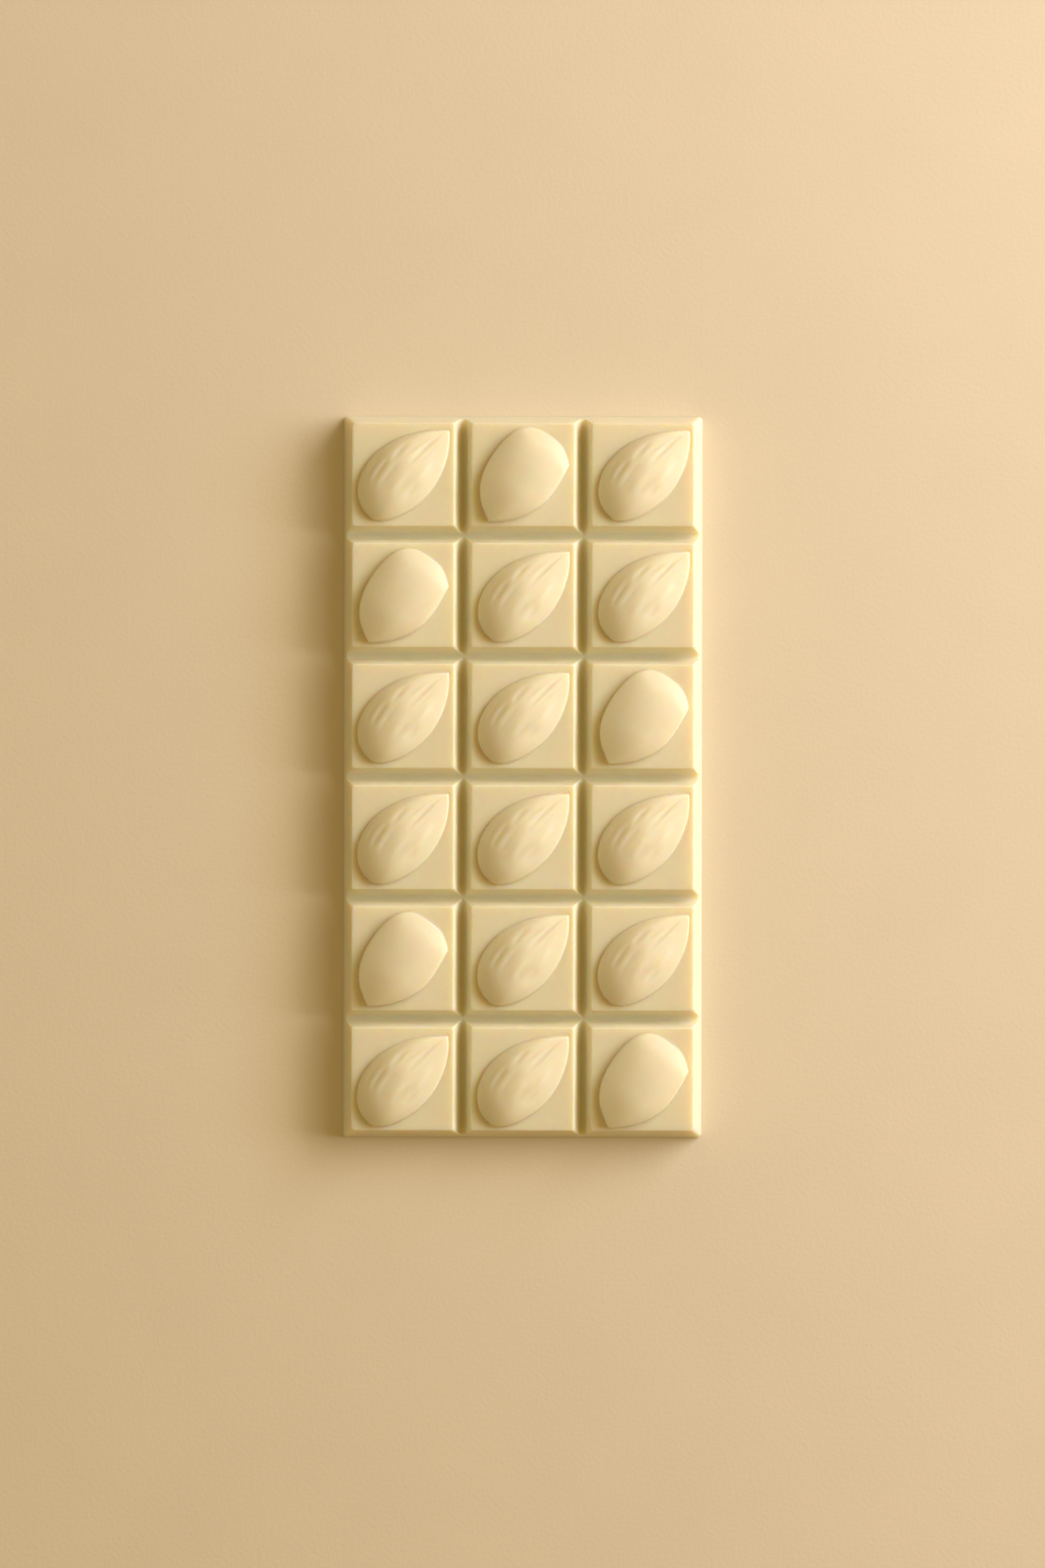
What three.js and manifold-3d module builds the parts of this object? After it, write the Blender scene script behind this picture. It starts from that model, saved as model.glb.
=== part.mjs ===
// A moulded tablet of white chocolate, cast as one piece. V grooves score its face into squares, and every
// square carries an almond in relief: most are ridged almonds in their skin, some are smooth blanched ones.
// Millimetres, +Z up. The origin is the centre of the flat underside, +X runs across the tablet and +Y along it.

import * as THREE from 'three';
import { mergeVertices } from 'three/addons/utils/BufferGeometryUtils.js';
import Module from 'manifold-3d';

// The grid of squares. Row 0 is at the +Y end and column 0 is at the -X side.
const COLUMNS = 3;
const ROWS = 6;
const COLUMN_PITCH = 25.64;
const ROW_PITCH = 25.82;

// The block: a low foot with a slight draft, and above it walls that lean in to the face.
const FACE_WIDTH = 72.9;
const FACE_LENGTH = 150.7;
const FACE_HEIGHT = 6.8;
const FOOT_HEIGHT = 2.2;
const FOOT_SPREAD = 1.5;
const BASE_SPREAD = 2.15;
const CORNER_RADIUS = 0.8;
const CORNER_STEPS = 3;

// The grooves: straight walls down to a rounded floor, run out past the block at both ends.
const GROOVE_WIDTH = 3.7;
const GROOVE_WALL_ANGLE = THREE.MathUtils.degToRad(72);
const GROOVE_FLOOR_RADIUS = 0.8;
const GROOVE_FLOOR_STEPS = 4;
const CUTTER_OVERRUN = 4;
const CUTTER_RISE = 1;

// Squares that carry a blanched almond, as [row, column]. The others carry a ridged one.
const BLANCHED_SQUARES = [[0, 1], [1, 0], [2, 2], [4, 0], [5, 2]];

// An almond lies in its own frame: u from its base to its tip, and w to the left of that. `lean` turns u from
// +X. Each side is a chain of cubic curves from base to tip, given by their ends and control points. The skin
// starts at the top of an upright step, and rises along the axis from both ends to the summit and across it from
// both sides to the ridge. A power says how it rises: 2 for a parabola, more for a flat top with a steep rim.
// Pairs are the values at the base and at the tip. `rightFall` is the share that is lost down to the right side.
const RIDGED_ALMOND = {
  lean: THREE.MathUtils.degToRad(45),
  left: [[-11.6, -1.3], [-11.6, 4.0], [-7.0, 7.2], [-1.4, 7.2], [3.2, 7.2], [9.0, 4.7], [13.4, -0.4]],
  right: [[-11.6, -1.3], [-11.6, -4.6], [-5.6, -6.9], [-0.7, -6.9], [3.8, -6.9], [9.6, -5.0], [13.4, -0.4]],
  step: [1.0, 0.3],
  relief: 2.5,
  summit: 0.5,
  basePower: 3.4,
  tipPower: 1.5,
  ridge: [-0.4, 0.7],
  leftPower: [1.7, 4.5],
  rightPower: [3.0, 1.3],
  rightFall: 1,
  furrows: [
    { across: 0.55, from: 0.24, to: 0.7, depth: 0.3 },
    { across: 0.1, from: 0.54, to: 0.96, depth: 0.25 },
    { across: -0.6, from: 0.31, to: 0.48, depth: 0.2 },
  ],
};

// A blanched almond also has a flat near its broad end: it falls away beyond a line at `start` that is turned
// from across the axis by `turn`, and its crown makes it drop to both sides.
const BLANCHED_ALMOND = {
  lean: THREE.MathUtils.degToRad(51),
  left: [[-12.5, -0.7], [-10.6, 3.6], [-8.1, 7.8], [1.9, 7.8], [5.7, 7.6], [10.0, 7.2], [10.0, -0.7]],
  right: [
    [-12.5, -0.7], [-10.0, -4.2], [-5.2, -7.4], [-0.6, -7.5], [2.6, -7.55], [5.4, -6.9], [7.5, -6.4],
    [8.8, -4.7], [10.0, -3.0], [10.0, -0.7],
  ],
  step: [1.6, 1.2],
  relief: 2.2,
  summit: 0.42,
  basePower: 1.8,
  tipPower: 3,
  ridge: [-0.5, 0],
  leftPower: [1.2, 3.5],
  rightPower: [1.5, 2.1],
  rightFall: 0.68,
  furrows: [],
  flat: { start: 4.8, turn: THREE.MathUtils.degToRad(-3.6), height: 3.52, slope: 0.47, crown: 0.025 },
};

const FURROW_HALF_WIDTH = 0.2;
const STEPS_ALONG = 16;
const STEPS_ACROSS = 17;
const EMBEDDED_DEPTH = 0.6;

// --- closed shapes -------------------------------------------------------------------------------------------

// A closed body from flat faces of three or four corners each, which go anticlockwise seen from outside.
// Corners that fall together, as at a pole, leave out the triangle between them.
function bodyFromFaces(faces) {
  const corners = [];
  faces.forEach((face) => {
    for (let i = 1; i + 1 < face.length; i += 1) {
      const triangle = [face[0], face[i], face[i + 1]];
      const isFlat = triangle.some((corner, n) => corner.distanceTo(triangle[(n + 1) % 3]) < 1e-6);
      if (!isFlat) {
        corners.push(...triangle);
      }
    }
  });
  return mergeVertices(new THREE.BufferGeometry().setFromPoints(corners), 1e-5);
}

// A closed body through turns of equally many points, lowest first, with a flat end below and above.
function loft(turns) {
  const faces = [turns[0].slice().reverse(), turns[turns.length - 1]];
  turns.slice(1).forEach((upper, level) => {
    const lower = turns[level];
    lower.forEach((point, i) => {
      const next = (i + 1) % lower.length;
      faces.push([point, lower[next], upper[next], upper[i]]);
    });
  });
  return bodyFromFaces(faces);
}

// One turn round a rectangle with rounded corners, anticlockwise seen from above.
function roundedRectangle(width, length, radius, z) {
  const points = [];
  [[1, 1], [-1, 1], [-1, -1], [1, -1]].forEach(([sideX, sideY], corner) => {
    for (let step = 0; step <= CORNER_STEPS; step += 1) {
      const angle = (corner + step / CORNER_STEPS) * Math.PI / 2;
      const x = sideX * (width / 2 - radius) + radius * Math.cos(angle);
      const y = sideY * (length / 2 - radius) + radius * Math.sin(angle);
      points.push(new THREE.Vector3(x, y, z));
    }
  });
  return points;
}

// The block before it is scored.
function blockBody() {
  const levels = [[0, BASE_SPREAD], [FOOT_HEIGHT, FOOT_SPREAD], [FACE_HEIGHT, 0]];
  return loft(levels.map(([z, spread]) => roundedRectangle(
    FACE_WIDTH + 2 * spread,
    FACE_LENGTH + 2 * spread,
    CORNER_RADIUS,
    z,
  )));
}

// A groove's section: x across the groove and z up, from the left lip down round the floor to the right lip.
function grooveSection() {
  const wallSlope = Math.tan(GROOVE_WALL_ANGLE);
  const lip = GROOVE_WIDTH / 2 + CUTTER_RISE / wallSlope;
  const floorCentre = FACE_HEIGHT - wallSlope * GROOVE_WIDTH / 2
    + GROOVE_FLOOR_RADIUS / Math.cos(GROOVE_WALL_ANGLE);
  const section = [[-lip, FACE_HEIGHT + CUTTER_RISE]];
  for (let step = 0; step <= GROOVE_FLOOR_STEPS; step += 1) {
    const angle = (2 * step / GROOVE_FLOOR_STEPS - 1) * GROOVE_WALL_ANGLE;
    const x = GROOVE_FLOOR_RADIUS * Math.sin(angle);
    section.push([x, floorCentre - GROOVE_FLOOR_RADIUS * Math.cos(angle)]);
  }
  section.push([lip, FACE_HEIGHT + CUTTER_RISE]);
  return section;
}

// A straight cutter with the groove's section, lying along Y over the middle of the tablet.
function grooveCutter(length) {
  const ends = [length / 2, -length / 2];
  return loft(ends.map((y) => grooveSection().map(([x, z]) => new THREE.Vector3(x, y, z))));
}

// --- almonds -------------------------------------------------------------------------------------------------

// One side of an almond, as a chain of cubic curves.
function sideCurve(controls) {
  const points = controls.map(([u, w]) => new THREE.Vector2(u, w));
  const chain = new THREE.CurvePath();
  for (let i = 0; i + 3 < points.length; i += 3) {
    chain.add(new THREE.CubicBezierCurve(points[i], points[i + 1], points[i + 2], points[i + 3]));
  }
  return chain;
}

// The share of its relief that an almond has at a point of its skin.
function domeShare(almond, along, across) {
  const shortBase = Math.max(0, 1 - along / almond.summit);
  const shortTip = Math.max(0, (along - almond.summit) / (1 - almond.summit));
  const crest = (1 - shortBase ** almond.basePower) * (1 - shortTip ** almond.tipPower);
  const ridge = THREE.MathUtils.lerp(...almond.ridge, along);
  if (across > ridge) {
    const toLeft = (across - ridge) / (1 - ridge);
    return crest * (1 - toLeft ** THREE.MathUtils.lerp(...almond.leftPower, along));
  }
  const toRight = (ridge - across) / (1 + ridge);
  return crest * (1 - almond.rightFall * toRight ** THREE.MathUtils.lerp(...almond.rightPower, along));
}

// How deep the furrows are at a point of the skin.
function furrowDepth(almond, along, across) {
  let depth = 0;
  almond.furrows.forEach((furrow) => {
    const beside = Math.abs(across - furrow.across) / FURROW_HALF_WIDTH;
    const run = (along - furrow.from) / (furrow.to - furrow.from);
    if (beside < 1 && run > 0 && run < 1) {
      depth += furrow.depth * (1 - beside) * Math.sin(Math.PI * run);
    }
  });
  return depth;
}

// Height of a blanched almond's flat over a point.
function flatHeight(flat, place) {
  const past = place.x * Math.cos(flat.turn) + place.y * Math.sin(flat.turn) - flat.start;
  const beside = place.y * Math.cos(flat.turn) - place.x * Math.sin(flat.turn);
  return flat.height - flat.slope * past - flat.crown * beside ** 2;
}

// Height of an almond's skin above its square. `along` runs 0 to 1 from base to tip, and `across` -1 to 1 from
// the right side to the left one.
function skinHeight(almond, along, across, place) {
  const dome = domeShare(almond, along, across);
  const cut = furrowDepth(almond, along, across) * Math.min(1, 2 * dome);
  const skin = THREE.MathUtils.lerp(...almond.step, along) + almond.relief * dome - cut;
  return almond.flat ? Math.min(skin, flatHeight(almond.flat, place)) : skin;
}

// The almond's skin as rows of points from its right side to its left one, the rows going from base to tip.
function skinRows(almond) {
  const left = sideCurve(almond.left);
  const right = sideCurve(almond.right);
  const base = left.getPoint(0).x;
  const reach = left.getPoint(1).x - base;
  const rows = [];
  for (let i = 0; i <= STEPS_ALONG; i += 1) {
    const share = (1 - Math.cos(Math.PI * i / STEPS_ALONG)) / 2;
    const ends = [right.getPoint(share), left.getPoint(share)];
    const along = ((ends[0].x + ends[1].x) / 2 - base) / reach;
    const row = [];
    for (let j = 0; j <= STEPS_ACROSS; j += 1) {
      const across = -Math.cos(Math.PI * j / STEPS_ACROSS);
      const place = ends[0].clone().lerp(ends[1], (across + 1) / 2);
      row.push(new THREE.Vector3(place.x, place.y, skinHeight(almond, along, across, place)));
    }
    rows.push(row);
  }
  return rows;
}

// An almond as a closed body, its skin over a flat underside that is sunk in the chocolate.
function almondBody(almond) {
  const rows = skinRows(almond);
  const sunk = (point) => new THREE.Vector3(point.x, point.y, -EMBEDDED_DEPTH);
  const faces = [];
  for (let i = 0; i < STEPS_ALONG; i += 1) {
    const here = rows[i];
    const ahead = rows[i + 1];
    for (let j = 0; j < STEPS_ACROSS; j += 1) {
      faces.push([here[j], ahead[j], ahead[j + 1], here[j + 1]]);
    }
    const [right, rightAhead] = [here[0], ahead[0]];
    const [left, leftAhead] = [here[STEPS_ACROSS], ahead[STEPS_ACROSS]];
    faces.push([sunk(right), sunk(rightAhead), rightAhead, right]);
    faces.push([sunk(leftAhead), sunk(left), left, leftAhead]);
    faces.push([sunk(right), sunk(left), sunk(leftAhead), sunk(rightAhead)]);
  }
  return bodyFromFaces(faces).rotateZ(almond.lean);
}

// --- joining and cutting -------------------------------------------------------------------------------------

const manifold = await Module();
manifold.setup();

function solidFrom(geometry) {
  return new manifold.Manifold(new manifold.Mesh({
    numProp: 3,
    vertProperties: new Float32Array(geometry.attributes.position.array),
    triVerts: new Uint32Array(geometry.index.array),
  }));
}

function geometryFrom(solid) {
  const mesh = solid.getMesh();
  const geometry = new THREE.BufferGeometry();
  geometry.setAttribute('position', new THREE.BufferAttribute(mesh.vertProperties, 3));
  geometry.setIndex(new THREE.BufferAttribute(mesh.triVerts, 1));
  geometry.computeVertexNormals();
  return geometry;
}

// The middles of a row of squares, lowest first, and the lines halfway between neighbours.
function middles(count, pitch) {
  return Array.from({ length: count }, (_, n) => (n - (count - 1) / 2) * pitch);
}

function tabletGeometry() {
  let tablet = solidFrom(blockBody());
  middles(COLUMNS - 1, COLUMN_PITCH).forEach((x) => {
    const cutter = grooveCutter(FACE_LENGTH + 2 * CUTTER_OVERRUN);
    tablet = tablet.subtract(solidFrom(cutter.translate(x, 0, 0)));
  });
  middles(ROWS - 1, ROW_PITCH).forEach((y) => {
    const cutter = grooveCutter(FACE_WIDTH + 2 * CUTTER_OVERRUN).rotateZ(Math.PI / 2);
    tablet = tablet.subtract(solidFrom(cutter.translate(0, y, 0)));
  });
  middles(ROWS, ROW_PITCH).reverse().forEach((y, row) => {
    middles(COLUMNS, COLUMN_PITCH).forEach((x, column) => {
      const isBlanched = BLANCHED_SQUARES.some(([r, c]) => r === row && c === column);
      const almond = almondBody(isBlanched ? BLANCHED_ALMOND : RIDGED_ALMOND);
      tablet = tablet.add(solidFrom(almond.translate(x, y, FACE_HEIGHT)));
    });
  });
  return geometryFrom(tablet);
}

// --- the tablet ----------------------------------------------------------------------------------------------

const whiteChocolate = new THREE.MeshStandardMaterial({ color: 0xe6d296, roughness: 0.45, metalness: 0 });

const tablet = new THREE.Mesh(tabletGeometry(), whiteChocolate);
tablet.name = 'chocolate_bar';

const group = new THREE.Group();
group.add(tablet);

export default group;
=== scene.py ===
"""A moulded tablet of white chocolate on a round sheet of warm paper, by a wide soft window.

The tablet is one casting: squares divided by V grooves, each with an almond in relief. Its outside comes from
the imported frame. Its own lengths are in millimetres, and are turned to metres as the mesh is made. The
studio's lengths are in metres.
"""

from __future__ import annotations

import logging
import math
from dataclasses import dataclass, field
from enum import Enum

import bmesh
import bpy
import numpy as np
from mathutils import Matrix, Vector

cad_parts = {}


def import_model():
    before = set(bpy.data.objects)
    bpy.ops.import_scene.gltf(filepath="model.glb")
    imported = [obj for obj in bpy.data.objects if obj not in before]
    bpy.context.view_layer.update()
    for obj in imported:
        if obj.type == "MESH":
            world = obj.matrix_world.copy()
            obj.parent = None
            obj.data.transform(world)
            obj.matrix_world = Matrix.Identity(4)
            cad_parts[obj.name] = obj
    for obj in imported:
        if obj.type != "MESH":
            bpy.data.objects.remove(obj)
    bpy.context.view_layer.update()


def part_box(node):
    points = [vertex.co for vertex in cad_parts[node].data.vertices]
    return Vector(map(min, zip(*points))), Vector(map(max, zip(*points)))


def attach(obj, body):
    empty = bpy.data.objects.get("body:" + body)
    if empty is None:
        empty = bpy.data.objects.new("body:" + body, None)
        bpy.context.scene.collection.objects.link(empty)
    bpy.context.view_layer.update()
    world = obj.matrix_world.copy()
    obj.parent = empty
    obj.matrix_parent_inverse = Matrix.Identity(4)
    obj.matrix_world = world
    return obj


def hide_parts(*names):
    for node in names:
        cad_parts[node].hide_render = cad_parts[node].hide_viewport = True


LOG = logging.getLogger("tablet")
METRES = 0.001
NODE = "chocolate_bar"
BODY = "root"
MERGE_DISTANCE = 2e-6
MASK_LOW = 0.3
MASK_HIGH = 0.7

Colour = tuple[float, float, float]
Tree = bpy.types.NodeTree
Socket = bpy.types.NodeSocket


class Edge(Enum):
    """What a square meets on one of its sides."""

    GROOVE = "groove"
    RIM = "rim"


class AlmondKind(Enum):
    """The two almonds of the mould."""

    RIDGED = "ridged"
    BLANCHED = "blanched"


# --- curves and heights -----------------------------------------------------------------------------


def quarter_round(run: np.ndarray) -> np.ndarray:
    """Return the height of a quarter of an ellipse.

    Args:
        run: How far in from its upright rim, 1 where it has become level.

    Returns:
        The height, 0 at the rim to 1.
    """
    short = np.clip(1.0 - run, 0.0, 1.0)
    return np.sqrt(1.0 - short * short)


def smooth_min(a: np.ndarray, b: np.ndarray, blend: float) -> np.ndarray:
    """Return the lower of two heights with their crossing rounded off.

    Args:
        a: First height.
        b: Second height.
        blend: How far apart the two may be and still be blended.

    Returns:
        The blended height, never above either.
    """
    near = np.clip(1.0 - np.abs(a - b) / blend, 0.0, 1.0)
    return np.minimum(a, b) - near * near * blend / 4.0


def crowded_ends(steps: int, crowding: float) -> np.ndarray:
    """Return shares from 0 to 1 that stand closer together near both ends.

    Args:
        steps: How many gaps there are.
        crowding: 0 for even gaps, to 1 for those of a half circle.

    Returns:
        One share for each of steps + 1 points.
    """
    even = np.linspace(0.0, 1.0, steps + 1)
    return (1.0 - crowding) * even + crowding * (1.0 - np.cos(math.pi * even)) / 2.0


def turned(place: np.ndarray, angle: float) -> np.ndarray:
    """Turn points in the plane.

    Args:
        place: Points with u and w last.
        angle: Anticlockwise turn in radians.

    Returns:
        The turned points, of the same shape.
    """
    cos, sin = math.cos(angle), math.sin(angle)
    return place @ np.array([[cos, sin], [-sin, cos]])


# --- the almonds ------------------------------------------------------------------------------------


@dataclass(frozen=True)
class SideCurve:
    """One side of an almond, a chain of cubic curves from base to tip."""

    controls: tuple[tuple[float, float], ...]
    samples: int = 400

    def at(self, along: np.ndarray) -> np.ndarray:
        """Return the points at these shares of the side's length.

        Args:
            along: Shares of the length, 0 at the base to 1 at the tip.

        Returns:
            One row of u and w for each share.
        """
        controls = np.array(self.controls)
        step = np.linspace(0.0, 1.0, self.samples)[:, None]
        spans = []
        for first in range(0, len(controls) - 3, 3):
            start, lead, trail, end = controls[first : first + 4]
            spans.append(
                (1 - step) ** 3 * start
                + 3 * (1 - step) ** 2 * step * lead
                + 3 * (1 - step) * step**2 * trail
                + step**3 * end
            )
        chain = np.concatenate(spans)
        gaps = np.linalg.norm(np.diff(chain, axis=0), axis=1)
        reached = np.concatenate([[0.0], np.cumsum(gaps)])
        wanted = along * reached[-1]
        return np.stack([np.interp(wanted, reached, chain[:, axis]) for axis in (0, 1)], axis=1)


@dataclass(frozen=True)
class Furrow:
    """A furrow in an almond's skin, which follows the meridians between base and tip.

    across_base and across_tip are the meridians at its two ends, -1 on the right side to 1 on the left. start
    and end are places along the axis, 0 at the base to 1 at the tip. A negative depth is a ridge. end_power
    says how it deepens from its ends: 1 for a half wave, less for blunter ends.
    """

    across_base: float
    across_tip: float
    start: float
    end: float
    depth: float
    width: float
    end_power: float = 0.8

    def cut(self, axis: np.ndarray, across: np.ndarray) -> np.ndarray:
        """Return how deep the furrow is at these places of the skin.

        Args:
            axis: Place along the almond's axis, one for each row.
            across: Place across it, one for each column.

        Returns:
            The depth in millimetres.
        """
        run = np.clip((axis - self.start) / (self.end - self.start), 0.0, 1.0)
        middle = self.across_base + (self.across_tip - self.across_base) * run
        beside = (across - middle) / self.width
        return self.depth * np.sin(math.pi * run) ** self.end_power * np.exp(-beside * beside)


@dataclass(frozen=True)
class BroadFlat:
    """The flat at a blanched almond's broad end, which falls away beyond a line across it.

    crown is how much it drops to its sides, in millimetres at one millimetre from its middle line.
    """

    start: float
    turn: float
    height: float
    slope: float
    crown: float
    blend: float

    def surface(self, place: np.ndarray) -> np.ndarray:
        """Return the height of the flat.

        Args:
            place: Points in the almond's own frame.

        Returns:
            One height for each point.
        """
        past = place[..., 0] * math.cos(self.turn) + place[..., 1] * math.sin(self.turn)
        beside = place[..., 1] * math.cos(self.turn) - place[..., 0] * math.sin(self.turn)
        return self.height - self.slope * (past - self.start) - self.crown * beside**2


@dataclass(frozen=True)
class Almond:
    """One almond of the mould, in its own frame: u from base to tip, w to the left of that.

    The skin rises along the axis from both ends to the summit, and across it from both sides to the ridge. A
    power says how it does so: 2 for a parabola, more for a flat top with a steep rim. step is the height of
    the upright rim below it. ridge, left_power, right_power and step each have a value at the base and one at
    the tip, and right_fall is the share of the height that is lost from the ridge to the right side. Furrows
    have their full depth where the dome has risen by 1 / furrow_rise.
    """

    lean: float
    left: SideCurve
    right: SideCurve
    relief: float
    summit: float
    base_power: float
    tip_power: float
    ridge: tuple[float, float]
    left_power: tuple[float, float]
    right_power: tuple[float, float]
    right_fall: float
    step: tuple[float, float]
    furrows: tuple[Furrow, ...] = ()
    flat: BroadFlat | None = None
    step_run: float = 0.2
    rim_run: float = 0.25
    furrow_rise: float = 2.0
    foot: float = 0.03
    outline_samples: int = 300
    steps_along: int = 48
    steps_across: int = 52
    crowding_along: float = 0.5
    crowding_across: float = 0.7

    def skin(self) -> np.ndarray:
        """Return the almond's skin over its square's middle.

        Returns:
            Points by row from base to tip and by column from the right side to the left one.
        """
        along = crowded_ends(self.steps_along, self.crowding_along)
        across = 2.0 * crowded_ends(self.steps_across, self.crowding_across) - 1.0
        left, right = self.left.at(along), self.right.at(along)
        share = ((across + 1.0) / 2.0)[None, :, None]
        place = right[:, None, :] * (1.0 - share) + left[:, None, :] * share
        middle = (left[:, 0] + right[:, 0]) / 2.0
        axis = ((middle - middle[0]) / (middle[-1] - middle[0]))[:, None]
        height = self.height(axis, across[None, :], place)
        return np.concatenate([turned(place, self.lean), height[..., None]], axis=2)

    def from_outline(self, place: np.ndarray) -> np.ndarray:
        """Return how far points are from the almond's outline.

        Args:
            place: The points in the almond's own frame.

        Returns:
            Distances in millimetres, one for each point.
        """
        even = np.linspace(0.0, 1.0, self.outline_samples)
        outline = np.concatenate([self.left.at(even), self.right.at(even)])
        return np.linalg.norm(place[:, :, None, :] - outline, axis=3).min(axis=2)

    def dome(self, axis: np.ndarray, across: np.ndarray) -> np.ndarray:
        """Return the rounded part of the skin.

        Args:
            axis: Place along the axis, 0 at the base to 1 at the tip, one for each row.
            across: Place across, -1 to 1, one for each column.

        Returns:
            Shares of the relief, 0 to 1.
        """
        short_base = np.clip(1.0 - axis / self.summit, 0.0, 1.0)
        short_tip = np.clip((axis - self.summit) / (1.0 - self.summit), 0.0, 1.0)
        crest = (1.0 - short_base**self.base_power) * (1.0 - short_tip**self.tip_power)
        ridge, left_power, right_power = (
            base * (1.0 - axis) + tip * axis for base, tip in (self.ridge, self.left_power, self.right_power)
        )
        is_left = across > ridge
        beside = np.where(is_left, (across - ridge) / (1.0 - ridge), (ridge - across) / (1.0 + ridge))
        fall = np.where(is_left, 1.0, self.right_fall)
        return crest * (1.0 - fall * beside ** np.where(is_left, left_power, right_power))

    def height(self, axis: np.ndarray, across: np.ndarray, place: np.ndarray) -> np.ndarray:
        """Return the height of the skin above the square.

        Args:
            axis: Place along the axis, 0 at the base to 1 at the tip, one for each row.
            across: Place across, -1 to 1, one for each column.
            place: The points in the almond's own frame.

        Returns:
            Heights in millimetres, one for each point.
        """
        away = self.from_outline(place)
        dome = self.dome(axis, across) * np.sqrt(np.clip(away / self.rim_run, 0.0, 1.0))
        step = self.step[0] * (1.0 - axis) + self.step[1] * axis
        height = self.relief * dome + step * quarter_round(away / self.step_run)
        for furrow in self.furrows:
            height = height - furrow.cut(axis, across) * np.minimum(1.0, self.furrow_rise * dome)
        if self.flat is not None:
            height = smooth_min(height, self.flat.surface(place), self.flat.blend)
        return np.hypot(np.maximum(height, 0.0), self.foot)


RIDGED = Almond(
    lean=math.radians(45.0),
    left=SideCurve(
        ((-11.6, -1.3), (-11.6, 4.0), (-7.0, 7.2), (-1.4, 7.2), (3.2, 7.2), (9.0, 4.7), (13.4, -0.4))
    ),
    right=SideCurve(
        ((-11.6, -1.3), (-11.6, -4.6), (-5.6, -6.9), (-0.7, -6.9), (3.8, -6.9), (9.6, -5.0), (13.4, -0.4))
    ),
    relief=2.5,
    summit=0.5,
    base_power=3.4,
    tip_power=1.5,
    ridge=(-0.4, 0.7),
    left_power=(1.7, 4.5),
    right_power=(3.0, 1.3),
    right_fall=1.0,
    step=(1.0, 0.3),
    furrows=(
        Furrow(0.50, 0.57, 0.24, 0.475, 0.32, 0.06),
        Furrow(0.47, 0.67, 0.494, 0.695, 0.34, 0.07),
        Furrow(0.355, 0.355, 0.60, 0.78, 0.22, 0.05),
        Furrow(0.03, 0.17, 0.54, 0.96, 0.34, 0.07),
        Furrow(0.20, 0.30, 0.24, 0.52, 0.20, 0.06),
        Furrow(-0.60, -0.60, 0.31, 0.48, 0.24, 0.07),
        Furrow(-0.31, -0.31, 0.28, 0.45, 0.20, 0.08),
        Furrow(-0.14, -0.18, 0.52, 0.84, 0.10, 0.05),
        Furrow(-0.48, -0.48, 0.46, 0.70, -0.20, 0.10),
        Furrow(-0.10, -0.10, 0.26, 0.50, -0.25, 0.14),
        Furrow(0.76, 0.80, 0.22, 0.44, 0.14, 0.05),
    ),
)

BLANCHED = Almond(
    lean=math.radians(51.0),
    left=SideCurve(
        ((-12.5, -0.7), (-10.6, 3.6), (-8.1, 7.8), (1.9, 7.8), (5.7, 7.6), (10.0, 7.2), (10.0, -0.7))
    ),
    right=SideCurve(
        (
            *((-12.5, -0.7), (-10.0, -4.2), (-5.2, -7.4), (-0.6, -7.5), (2.6, -7.55), (5.4, -6.9)),
            *((7.5, -6.4), (8.8, -4.7), (10.0, -3.0), (10.0, -0.7)),
        )
    ),
    relief=2.2,
    summit=0.42,
    base_power=1.8,
    tip_power=3.0,
    ridge=(-0.5, 0.0),
    left_power=(1.2, 3.5),
    right_power=(1.5, 2.1),
    right_fall=0.68,
    step=(1.6, 1.2),
    flat=BroadFlat(start=4.8, turn=math.radians(-3.6), height=3.52, slope=0.47, crown=0.025, blend=0.12),
)

ALMONDS = {AlmondKind.RIDGED: RIDGED, AlmondKind.BLANCHED: BLANCHED}


# --- meshes -----------------------------------------------------------------------------------------


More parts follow.
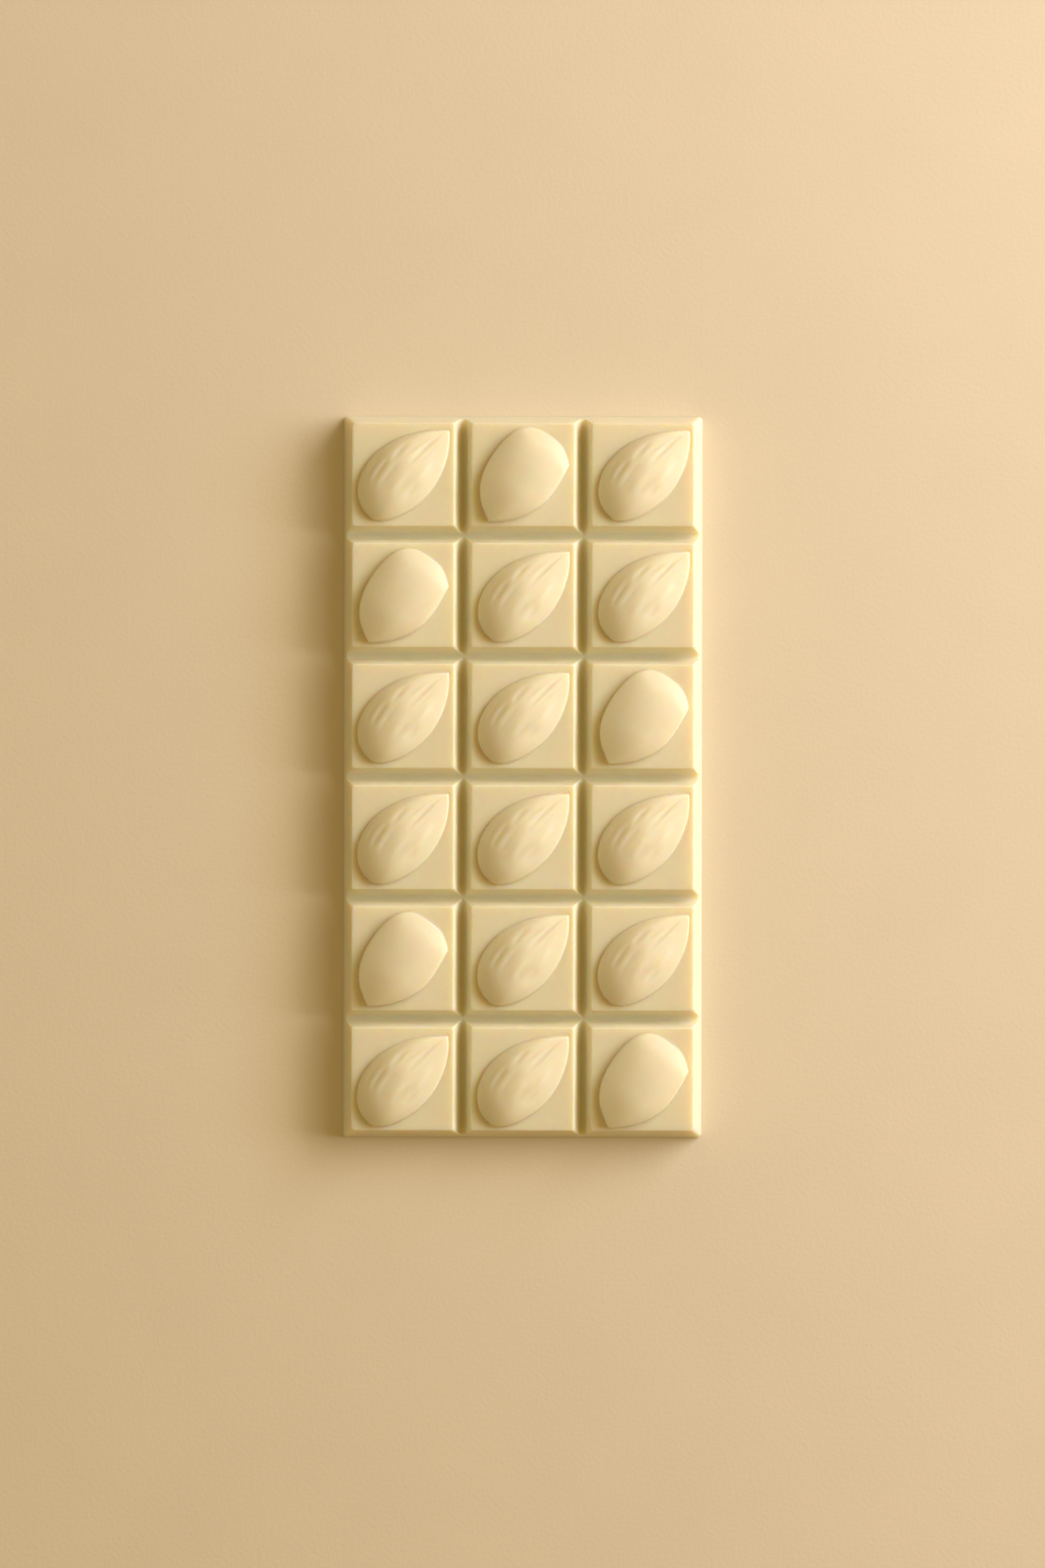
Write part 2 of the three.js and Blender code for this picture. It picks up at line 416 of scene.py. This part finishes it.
@dataclass
class MeshParts:
    """Points and faces gathered for one mesh, in millimetres."""

    points: list[np.ndarray] = field(default_factory=list)
    faces: list[np.ndarray] = field(default_factory=list)
    count: int = 0

    def add_points(self, points: np.ndarray) -> np.ndarray:
        """Add points and return their indices.

        Args:
            points: One row of x, y and z for each point.

        Returns:
            The index that each of them has in the mesh.
        """
        self.points.append(points)
        self.count += len(points)
        return np.arange(self.count - len(points), self.count)

    def add_grid(self, index: np.ndarray) -> None:
        """Add the faces of a grid of points that is seen from above.

        Args:
            index: Point indices by row and column, rows forwards and columns to the left.
        """
        corners = (index[:-1, :-1], index[1:, :-1], index[1:, 1:], index[:-1, 1:])
        self.faces.append(np.stack([corner.ravel() for corner in corners], axis=1))

    def add_band(self, inner: np.ndarray, outer: np.ndarray) -> None:
        """Add the faces between two lines of points.

        Args:
            inner: Indices along the inner or upper line, anticlockwise.
            outer: Indices along the outer or lower one.
        """
        self.faces.append(np.stack([inner[:-1], outer[:-1], outer[1:], inner[1:]], axis=1))

    def add_turns(self, turns: list[np.ndarray], start: np.ndarray | None = None) -> None:
        """Add closed turns of points, each outside or below the one before, and the faces between them.

        Args:
            turns: The points of each turn, anticlockwise.
            start: Indices of a turn that is there already and comes first.
        """
        before = start
        for turn in turns:
            index = self.add_points(turn)
            if before is not None:
                self.add_band(np.append(before, before[0]), np.append(index, index[0]))
            before = index

    def add_lines(self, lines: list[np.ndarray]) -> None:
        """Add open lines of points, each outside or below the one before, and the faces between them.

        Args:
            lines: The points of each line, anticlockwise.
        """
        indices = [self.add_points(line) for line in lines]
        for inner, outer in zip(indices, indices[1:]):
            self.add_band(inner, outer)

    def to_bmesh(self) -> bmesh.types.BMesh:
        """Return the gathered mesh in metres, its touching points merged."""
        mesh = bpy.data.meshes.new("gathered")
        mesh.from_pydata(np.concatenate(self.points) * METRES, [], np.concatenate(self.faces).tolist())
        built = bmesh.new()
        built.from_mesh(mesh)
        bpy.data.meshes.remove(mesh)
        bmesh.ops.remove_doubles(built, verts=built.verts, dist=MERGE_DISTANCE)
        return built


def object_from(built: bmesh.types.BMesh, name: str) -> bpy.types.Object:
    """Make a smooth shaded object of a mesh and put it in the scene.

    Args:
        built: The mesh, which is freed.
        name: The object's name.

    Returns:
        The new object.
    """
    for face in built.faces:
        face.smooth = True
    mesh = bpy.data.meshes.new(name)
    built.to_mesh(mesh)
    built.free()
    made = bpy.data.objects.new(name, mesh)
    bpy.context.scene.collection.objects.link(made)
    return made


# --- the tablet -------------------------------------------------------------------------------------


@dataclass(frozen=True)
class PouredRipple:
    """The faint ripples that pouring leaves on the underside.

    wave holds the ripples' radians to the millimetre across and along the tablet. sway is how far a slower
    wave, of sway_wave radians to the millimetre, bends each of them, and margin is the level rim's width.
    """

    height: float = 0.12
    wave: tuple[float, float] = (0.31, 0.23)
    sway: tuple[float, float] = (1.1, 0.9)
    sway_wave: tuple[float, float] = (0.11, 0.17)
    shift: float = 0.6
    margin: float = 6.0

    def rise(self, place: np.ndarray, inset: float) -> np.ndarray:
        """Return how far the underside is off the table.

        Args:
            place: One row of x and y for each point.
            inset: How far in from the edge the points are.

        Returns:
            Heights in millimetres, one for each point.
        """
        x, y = place.T
        across = np.sin(self.wave[0] * x + self.sway[0] * np.sin(self.sway_wave[0] * y))
        along = np.sin(self.wave[1] * y + self.sway[1] * np.sin(self.sway_wave[1] * x) + self.shift)
        fade = min(1.0, inset / self.margin)
        return self.height * fade * (1 + across * along) / 2


@dataclass(frozen=True)
class Square:
    """One square of the tablet.

    edges are the lines where its face would meet its four walls, and meets says what lies beyond each. Both
    go anticlockwise from +X: east, north, west, south.
    """

    centre: tuple[float, float]
    edges: tuple[float, float, float, float]
    meets: tuple[Edge, Edge, Edge, Edge]
    kind: AlmondKind


@dataclass
class Tablet:
    """The cast tablet. Its outside comes from the frame's box, and the rest are its own sizes."""

    base_width: float
    base_length: float
    column_pitch: float = 25.64
    row_pitch: float = 25.82
    columns: int = 3
    rows: int = 6
    face_height: float = 6.8
    foot_height: float = 2.2
    foot_spread: float = 1.5
    base_spread: float = 2.15
    corner_radius: float = 0.8
    groove_width: float = 3.7
    groove_angle: float = math.radians(72.0)
    groove_floor_radius: float = 0.8
    lip_radius: float = 0.25
    foot_round: float = 0.6
    square_corner: float = 0.5
    blanched: frozenset[tuple[int, int]] = frozenset({(0, 1), (1, 0), (2, 2), (4, 0), (5, 2)})
    moat_reaches: tuple[float, ...] = (0.03, 0.15, 0.5, 0.9)
    moat_shares: tuple[float, ...] = (0.1, 0.25, 0.5, 0.7)
    moat_rises: tuple[float, ...] = (-0.12, -0.16, -0.07, 0.0)
    border: float = 0.15
    side_steps: int = 20
    corner_steps: int = 4
    side_crowding: float = 0.8
    flat_steps: int = 4
    lip_steps: int = 5
    wall_steps: int = 4
    floor_steps: int = 5
    foot_steps: int = 3
    ripple: PouredRipple = PouredRipple()
    underside_insets: tuple[float, ...] = (1.5, 3.5, 6.5, 10.0, 14.0, 18.0, 22.0, 26.0, 30.0, 34.0)

    @classmethod
    def from_frame(cls) -> Tablet:
        """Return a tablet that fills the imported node's box."""
        low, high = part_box(NODE)
        return cls(base_width=(high.x - low.x) / METRES, base_length=(high.y - low.y) / METRES)

    @property
    def rim_angle(self) -> float:
        """Return the angle of the outer walls above the foot, from level."""
        return math.atan2(self.face_height - self.foot_height, self.foot_spread)

    @property
    def groove_depth(self) -> float:
        """Return the depth of the grooves at their middle."""
        sharp = self.groove_width / 2 * math.tan(self.groove_angle)
        return sharp - self.groove_floor_radius * (1 / math.cos(self.groove_angle) - 1)

    def lip_reach(self, depth: float, angle: float) -> float:
        """Return how far out a wall with a rounded lip is at a depth below the face.

        Args:
            depth: Depth below the face.
            angle: The wall's angle from level.

        Returns:
            Distance out from the line where wall and face would meet.
        """
        if depth < self.lip_radius * (1 - math.cos(angle)):
            round_start = -self.lip_radius * math.tan(angle / 2)
            return round_start + self.lip_radius * math.sin(math.acos(1 - depth / self.lip_radius))
        return depth / math.tan(angle)

    def groove_reach(self, depth: float) -> float:
        """Return how far out a square's wall in a groove is, up to the groove's middle.

        Args:
            depth: Depth below the face.

        Returns:
            Distance out from the line where wall and face would meet.
        """
        radius = self.groove_floor_radius
        above_floor = max(0.0, self.groove_depth - depth)
        if above_floor < radius * (1 - math.cos(self.groove_angle)):
            return self.groove_width / 2 - math.sqrt(radius**2 - (radius - above_floor) ** 2)
        return self.lip_reach(depth, self.groove_angle)

    def rim_reach(self, depth: float) -> float:
        """Return how far out the tablet's outer wall is, down to the underside.

        Args:
            depth: Depth below the face.

        Returns:
            Distance out from the line where wall and face would meet.
        """
        height = self.face_height - depth
        if height >= self.foot_height:
            return self.lip_reach(depth, self.rim_angle)
        reach = self.base_spread + (self.foot_spread - self.base_spread) * height / self.foot_height
        below_round = max(0.0, self.foot_round - height)
        return reach - self.foot_round + math.sqrt(self.foot_round**2 - below_round**2)

    def squares(self) -> list[Square]:
        """Return every square, row 0 at the +Y end and column 0 at the -X side."""
        rim_x = self.base_width / 2 - self.base_spread
        rim_y = self.base_length / 2 - self.base_spread
        half_x = (self.column_pitch - self.groove_width) / 2
        half_y = (self.row_pitch - self.groove_width) / 2
        found = []
        for row in range(self.rows):
            for column in range(self.columns):
                x = (column - (self.columns - 1) / 2) * self.column_pitch
                y = ((self.rows - 1) / 2 - row) * self.row_pitch
                sides = (
                    (column == self.columns - 1, rim_x, x + half_x),
                    (row == 0, rim_y, y + half_y),
                    (column == 0, -rim_x, x - half_x),
                    (row == self.rows - 1, -rim_y, y - half_y),
                )
                edges = tuple(rim if is_rim else groove for is_rim, rim, groove in sides)
                meets = tuple(Edge.RIM if is_rim else Edge.GROOVE for is_rim, _, _ in sides)
                kind = AlmondKind.BLANCHED if (row, column) in self.blanched else AlmondKind.RIDGED
                found.append(Square((x, y), edges, meets, kind))
        return found

    def turn(self, square: Square, groove: float, rim: float, z: float, corner: float) -> np.ndarray:
        """Return one turn round a square, anticlockwise from the middle of its north-east corner.

        Args:
            square: The square.
            groove: How far out the turn is on sides that meet a groove.
            rim: How far out it is on sides that are the tablet's outer wall.
            z: Height of the turn.
            corner: Radius of its corners. The tablet's own corners keep theirs.

        Returns:
            One row of x, y and z for each point.
        """
        reach = [rim if meets is Edge.RIM else groove for meets in square.meets]
        outward = (1, 1, -1, -1)
        east, north, west, south = (e + sign * out for e, sign, out in zip(square.edges, outward, reach))
        spots = ((east, north, -1, -1), (west, north, 1, -1), (west, south, 1, 1), (east, south, -1, 1))
        arcs = []
        for index, (x, y, inward_x, inward_y) in enumerate(spots):
            is_outer = square.meets[index] is square.meets[(index + 1) % 4] is Edge.RIM
            radius = self.corner_radius if is_outer else corner
            angle = (index + np.linspace(0.0, 1.0, self.corner_steps + 1)) * math.pi / 2
            arc_x = x + radius * (inward_x + np.cos(angle))
            arc_y = y + radius * (inward_y + np.sin(angle))
            arcs.append(np.stack([arc_x, arc_y], axis=1))
        share = crowded_ends(self.side_steps, self.side_crowding)[1:-1, None]
        pieces = []
        for before, after in zip(arcs, arcs[1:] + arcs[:1]):
            pieces += [before, before[-1] * (1 - share) + after[0] * share]
        flat = np.roll(np.concatenate(pieces), -(self.corner_steps // 2), axis=0)
        return np.column_stack([flat, np.full(len(flat), z)])

    def face_turns(self, square: Square, outline: np.ndarray) -> list[np.ndarray]:
        """Return the turns from an almond's outline over the face to the lip of the square.

        Args:
            square: The square.
            outline: The almond's outline, anticlockwise from its tip.

        Returns:
            The turns, innermost first.
        """
        ahead, behind = np.roll(outline, -1, axis=0), np.roll(outline, 1, axis=0)
        along = (ahead - behind)[:, :2]
        outward = np.stack([along[:, 1], -along[:, 0]], axis=1)
        outward /= np.linalg.norm(outward, axis=1)[:, None]
        lip = (self.lip_reach(0.0, self.groove_angle), self.lip_reach(0.0, self.rim_angle))
        border = (reach - self.border for reach in lip)
        last = self.turn(square, *border, self.face_height, self.square_corner)
        room = np.minimum(last.max(axis=0) - outline, outline - last.min(axis=0))[:, :2].min(axis=1)
        turns = []
        for reach, share, rise in zip(self.moat_reaches, self.moat_shares, self.moat_rises):
            height = np.full(len(outline), self.face_height + rise)
            out = outward * np.minimum(reach, room * share)[:, None]
            turns.append(np.column_stack([outline[:, :2] + out, height]))
        inner = turns[-1]
        for step in range(1, self.flat_steps + 1):
            share = step / self.flat_steps
            turns.append(inner * (1 - share) + last * share)
        return turns

    def wall_turns(self, square: Square) -> list[np.ndarray]:
        """Return the turns from the lip of a square down to the level of the grooves' floor.

        Args:
            square: The square.

        Returns:
            The turns, highest first.
        """
        lip = self.lip_radius * (1 - np.cos(np.linspace(0.0, self.rim_angle, self.lip_steps + 1)))
        above_floor = 1 - np.cos(np.linspace(self.groove_angle, 0.0, self.floor_steps + 1))
        floor = self.groove_depth - self.groove_floor_radius * above_floor
        wall = np.linspace(lip[-1], floor[0], self.wall_steps + 1)[1:-1]
        turns = []
        for depth in (*lip, *wall, *floor):
            corner = self.square_corner * (1 - depth / self.groove_depth)
            reaches = (self.groove_reach(depth), self.rim_reach(depth))
            turns.append(self.turn(square, *reaches, self.face_height - depth, corner))
        return turns

    def add_square(self, parts: MeshParts, square: Square) -> None:
        """Add a square with its almond, down to the level of the grooves' floor.

        Args:
            parts: The mesh to add to.
            square: The square.
        """
        skin = ALMONDS[square.kind].skin() + np.array([*square.centre, self.face_height])
        index = parts.add_points(skin.reshape(-1, 3)).reshape(skin.shape[:2])
        parts.add_grid(index)
        outline = np.concatenate([index[::-1, -1], index[1:-1, 0]])
        points = np.concatenate([skin[::-1, -1], skin[1:-1, 0]])
        parts.add_turns(self.face_turns(square, points) + self.wall_turns(square), start=outline)

    def add_outer_wall(self, parts: MeshParts, square: Square) -> None:
        """Add what lies below the grooves' floor on a square's outer sides, and the underside behind it.

        Args:
            parts: The mesh to add to.
            square: The square.
        """
        break_depth = self.face_height - self.foot_height
        wall = np.linspace(self.groove_depth, break_depth, self.wall_steps + 1)
        foot = np.linspace(break_depth, self.face_height - self.foot_round, self.foot_steps + 1)[1:]
        heights = self.foot_round * (1 - np.sin(np.linspace(0.0, math.pi / 2, self.foot_steps + 1)))[1:]
        levels = (*wall, *foot, *(self.face_height - heights))
        half_groove = self.groove_width / 2
        turns = [self.turn(square, half_groove, self.rim_reach(d), self.face_height - d, 0.0) for d in levels]
        turns += [self.underside(turns[-1], inset) for inset in (*self.underside_insets, self.base_width / 2)]
        span = self.side_steps + self.corner_steps
        for side, meets in enumerate(square.meets):
            if meets is Edge.RIM:
                places = np.arange((side - 1) * span, side * span + 1) % (4 * span)
                parts.add_lines([turn[places] for turn in turns])

    def underside(self, edge: np.ndarray, inset: float) -> np.ndarray:
        """Return the points of the poured underside at a distance in from its edge.

        Args:
            edge: Points round the underside's edge.
            inset: Distance in.

        Returns:
            The points moved in, at the height of the ripples.
        """
        half = np.array([self.base_width, self.base_length]) / 2 - inset
        flat = np.clip(edge[:, :2], -half, half)
        return np.column_stack([flat, self.ripple.rise(flat, inset)])

    def build(self) -> bpy.types.Object:
        """Build the tablet's mesh.

        Returns:
            The tablet.
        """
        parts = MeshParts()
        for square in self.squares():
            self.add_square(parts, square)
            self.add_outer_wall(parts, square)
        built = parts.to_bmesh()
        return object_from(built, "white_chocolate_tablet")


# --- finishes ---------------------------------------------------------------------------------------


@dataclass(frozen=True)
class Mottle:
    """The shader group for soft patches and fine grain, which chocolate and paper share."""

    name: str = "soft_mottle"
    patch_detail: float = 3.0

    def group(self) -> bpy.types.ShaderNodeTree:
        """Return the group, made the first time that it is asked for.

        Returns:
            A shader node group with a mask of soft patches and the height of a fine grain.
        """
        if self.name in bpy.data.node_groups:
            return bpy.data.node_groups[self.name]
        tree = bpy.data.node_groups.new(self.name, "ShaderNodeTree")
        for label in ("Patch Scale", "Grain Scale", "Grain Detail"):
            tree.interface.new_socket(label, in_out="INPUT", socket_type="NodeSocketFloat")
        for label in ("Patch", "Grain"):
            tree.interface.new_socket(label, in_out="OUTPUT", socket_type="NodeSocketFloat")
        entry, leave = tree.nodes.new("NodeGroupInput"), tree.nodes.new("NodeGroupOutput")
        place = tree.nodes.new("ShaderNodeTexCoord")
        patch, grain = tree.nodes.new("ShaderNodeTexNoise"), tree.nodes.new("ShaderNodeTexNoise")
        patch.inputs["Detail"].default_value = self.patch_detail
        for noise, scale in ((patch, "Patch Scale"), (grain, "Grain Scale")):
            tree.links.new(place.outputs["Object"], noise.inputs["Vector"])
            tree.links.new(entry.outputs[scale], noise.inputs["Scale"])
        tree.links.new(entry.outputs["Grain Detail"], grain.inputs["Detail"])
        tree.links.new(patch.outputs["Fac"], leave.inputs["Patch"])
        tree.links.new(grain.outputs["Fac"], leave.inputs["Grain"])
        return tree

    def place(self, tree: Tree, patch: float, grain: float, detail: float) -> bpy.types.Node:
        """Place the group in a material.

        Args:
            tree: The material's node tree.
            patch: Scale of the patches, in waves to the metre.
            grain: Scale of the grain.
            detail: Detail of the grain.

        Returns:
            The group's node.
        """
        node = tree.nodes.new("ShaderNodeGroup")
        node.node_tree = self.group()
        for label, value in (("Patch Scale", patch), ("Grain Scale", grain), ("Grain Detail", detail)):
            node.inputs[label].default_value = value
        return node


def blended(tree: Tree, mask: Socket, low: Colour, high: Colour) -> Socket:
    """Blend two colours by a mask.

    Args:
        tree: The material's node tree.
        mask: The mask, around 0.5.
        low: Colour where the mask is low.
        high: Colour where it is high.

    Returns:
        The blended colour.
    """
    ramp = tree.nodes.new("ShaderNodeValToRGB")
    for element, position, colour in zip(ramp.color_ramp.elements, (MASK_LOW, MASK_HIGH), (low, high)):
        element.position = position
        element.color = (*colour, 1.0)
    tree.links.new(mask, ramp.inputs["Fac"])
    return ramp.outputs["Color"]


def spread(tree: Tree, mask: Socket, low: float, high: float) -> Socket:
    """Spread a mask between two values.

    Args:
        tree: The material's node tree.
        mask: The mask, around 0.5.
        low: Value where the mask is low.
        high: Value where it is high.

    Returns:
        The value.
    """
    node = tree.nodes.new("ShaderNodeMapRange")
    node.inputs["From Min"].default_value = MASK_LOW
    node.inputs["From Max"].default_value = MASK_HIGH
    node.inputs["To Min"].default_value = low
    node.inputs["To Max"].default_value = high
    tree.links.new(mask, node.inputs["Value"])
    return node.outputs["Result"]


def bumped(tree: Tree, height: Socket, strength: float, depth: float) -> Socket:
    """Turn a height into a normal.

    Args:
        tree: The material's node tree.
        height: The height, 0 to 1.
        strength: Strength of the bump.
        depth: Depth of the bump in metres.

    Returns:
        The normal.
    """
    node = tree.nodes.new("ShaderNodeBump")
    node.inputs["Strength"].default_value = strength
    node.inputs["Distance"].default_value = depth
    tree.links.new(height, node.inputs["Height"])
    return node.outputs["Normal"]


@dataclass(frozen=True)
class ChocolateFinish:
    """Satin white chocolate, cast in a polished mould."""

    pale: Colour = (0.838, 0.805, 0.612)
    deep: Colour = (0.825, 0.790, 0.588)
    glossy: float = 0.36
    dull: float = 0.44
    scatter: Colour = (1.0, 0.58, 0.22)
    scatter_depth: float = 0.0038
    ior: float = 1.45
    patch_scale: float = 260.0
    grain_scale: float = 2400.0
    grain_detail: float = 4.0
    grain_strength: float = 0.12
    grain_depth: float = 0.00004

    def material(self, name: str) -> bpy.types.Material:
        """Make the material.

        Args:
            name: The material's name.

        Returns:
            The material.
        """
        made = bpy.data.materials.new(name)
        made.use_nodes = True
        tree = made.node_tree
        shader = tree.nodes["Principled BSDF"]
        mottle = Mottle().place(tree, self.patch_scale, self.grain_scale, self.grain_detail)
        patch, grain = mottle.outputs["Patch"], mottle.outputs["Grain"]
        normal = bumped(tree, grain, self.grain_strength, self.grain_depth)
        tree.links.new(blended(tree, patch, self.deep, self.pale), shader.inputs["Base Color"])
        tree.links.new(spread(tree, patch, self.glossy, self.dull), shader.inputs["Roughness"])
        tree.links.new(normal, shader.inputs["Normal"])
        shader.inputs["Subsurface Weight"].default_value = 1.0
        shader.inputs["Subsurface Radius"].default_value = self.scatter
        shader.inputs["Subsurface Scale"].default_value = self.scatter_depth
        shader.inputs["IOR"].default_value = self.ior
        return made


@dataclass(frozen=True)
class PaperFinish:
    """Matt warm paper with a fine tooth."""

    pale: Colour = (0.808, 0.727, 0.556)
    deep: Colour = (0.792, 0.713, 0.544)
    roughness: float = 0.9
    gloss: float = 0.1
    patch_scale: float = 40.0
    tooth_scale: float = 1100.0
    tooth_detail: float = 2.0
    tooth_strength: float = 0.35
    tooth_depth: float = 0.0001

    def material(self, name: str) -> bpy.types.Material:
        """Make the material.

        Args:
            name: The material's name.

        Returns:
            The material.
        """
        made = bpy.data.materials.new(name)
        made.use_nodes = True
        tree = made.node_tree
        shader = tree.nodes["Principled BSDF"]
        mottle = Mottle().place(tree, self.patch_scale, self.tooth_scale, self.tooth_detail)
        colour = blended(tree, mottle.outputs["Patch"], self.deep, self.pale)
        normal = bumped(tree, mottle.outputs["Grain"], self.tooth_strength, self.tooth_depth)
        tree.links.new(colour, shader.inputs["Base Color"])
        tree.links.new(normal, shader.inputs["Normal"])
        shader.inputs["Roughness"].default_value = self.roughness
        shader.inputs["Specular IOR Level"].default_value = self.gloss
        return made


# --- the studio -------------------------------------------------------------------------------------


@dataclass(frozen=True)
class Backdrop:
    """The round sheet of paper that the tablet lies on. Lengths are in metres."""

    radius: float = 0.34
    corners: int = 128

    def build(self) -> bpy.types.Object:
        """Build the sheet.

        Returns:
            The sheet.
        """
        built = bmesh.new()
        bmesh.ops.create_circle(
            built, cap_ends=True, cap_tris=True, segments=self.corners, radius=self.radius
        )
        sheet = object_from(built, "paper_floor")
        sheet.data.materials.append(PaperFinish().material("warm_paper"))
        return sheet


@dataclass(frozen=True)
class Panel:
    """A soft rectangular lamp that faces the tablet. Lengths are in metres, and angles in degrees.

    azimuth and elevation say where it hangs, seen from the tablet. light is the brightness that it gives a
    white sheet lying level at the tablet, in red, green and blue.
    """

    name: str
    azimuth: float
    elevation: float
    distance: float
    width: float
    height: float
    light: Colour

    def hang(self) -> bpy.types.Object:
        """Hang the lamp.

        Returns:
            The lamp.
        """
        azimuth, elevation = math.radians(self.azimuth), math.radians(self.elevation)
        brightest = max(self.light)
        lamp = bpy.data.lights.new(self.name, "AREA")
        lamp.shape = "RECTANGLE"
        lamp.size = self.width
        lamp.size_y = self.height
        lamp.color = [channel / brightest for channel in self.light]
        lamp.energy = brightest * (math.pi * self.distance) ** 2 / math.sin(elevation)
        hung = bpy.data.objects.new(self.name, lamp)
        level = math.cos(elevation)
        towards = Vector((level * math.cos(azimuth), level * math.sin(azimuth), math.sin(elevation)))
        hung.location = towards * self.distance
        hung.rotation_euler = towards.to_track_quat("Z", "Y").to_euler()
        hung.visible_camera = False
        bpy.context.scene.collection.objects.link(hung)
        return hung


@dataclass(frozen=True)
class Studio:
    """Lamps, room light and camera. Lengths are in metres."""

    panels: tuple[Panel, ...] = (
        Panel("window_low", 23.0, 18.0, 1.0, 1.10, 0.16, (0.145, 0.135, 0.173)),
        Panel("window_middle", 23.0, 28.0, 1.0, 1.00, 0.22, (0.317, 0.297, 0.266)),
        Panel("window_high", 25.0, 43.0, 1.0, 1.00, 0.34, (0.195, 0.180, 0.150)),
        Panel("far_wall", 185.0, 42.0, 1.3, 1.70, 1.00, (0.064, 0.080, 0.080)),
    )
    room_light: Colour = (0.298, 0.162, 0.008)
    room_seen: Colour = (0.70, 0.51, 0.30)
    camera_height: float = 0.9
    camera_spot: tuple[float, float] = (-0.00007, -0.0015)
    camera_roll: float = math.radians(0.095)
    sensor_height: float = 36.0
    seen_length: float = 0.3342
    seen_level: float = 0.0068
    view_transform: str = "Standard"

    def light(self) -> None:
        """Hang the lamps and fill the room with soft warm light."""
        for panel in self.panels:
            panel.hang()
        self.fill_room()

    def fill_room(self) -> None:
        """Set the room's light, and the plain pale tone that the camera sees of the room."""
        world = bpy.data.worlds.new("room")
        bpy.context.scene.world = world
        world.use_nodes = True
        tree = world.node_tree
        tree.nodes.clear()
        path = tree.nodes.new("ShaderNodeLightPath")
        choice = tree.nodes.new("ShaderNodeMixShader")
        leave = tree.nodes.new("ShaderNodeOutputWorld")
        tree.links.new(path.outputs["Is Camera Ray"], choice.inputs["Fac"])
        for colour, socket in ((self.room_light, 1), (self.room_seen, 2)):
            background = tree.nodes.new("ShaderNodeBackground")
            background.inputs["Color"].default_value = (*colour, 1.0)
            tree.links.new(background.outputs["Background"], choice.inputs[socket])
        tree.links.new(choice.outputs["Shader"], leave.inputs["Surface"])

    def aim_camera(self) -> None:
        """Hang the camera straight above the tablet."""
        camera = bpy.data.cameras.new("camera")
        camera.sensor_fit = "VERTICAL"
        camera.sensor_height = self.sensor_height
        camera.lens = self.sensor_height * (self.camera_height - self.seen_level) / self.seen_length
        hung = bpy.data.objects.new("camera", camera)
        hung.location = (*self.camera_spot, self.camera_height)
        hung.rotation_euler = (0.0, 0.0, self.camera_roll)
        bpy.context.scene.collection.objects.link(hung)
        bpy.context.scene.camera = hung
        bpy.context.scene.view_settings.view_transform = self.view_transform


# --- putting it together ----------------------------------------------------------------------------


def main() -> None:
    """Build the tablet and its studio."""
    logging.basicConfig(level=logging.INFO, format="%(name)s: %(message)s")
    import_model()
    tablet = Tablet.from_frame().build()
    tablet.data.materials.append(ChocolateFinish().material("white_chocolate_satin"))
    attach(tablet, BODY)
    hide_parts(NODE)
    LOG.info("%s: %d faces", tablet.name, len(tablet.data.polygons))
    sheet = Backdrop().build()
    LOG.info("%s: %d faces", sheet.name, len(sheet.data.polygons))
    studio = Studio()
    studio.light()
    studio.aim_camera()


if __name__ == "__main__":
    main()
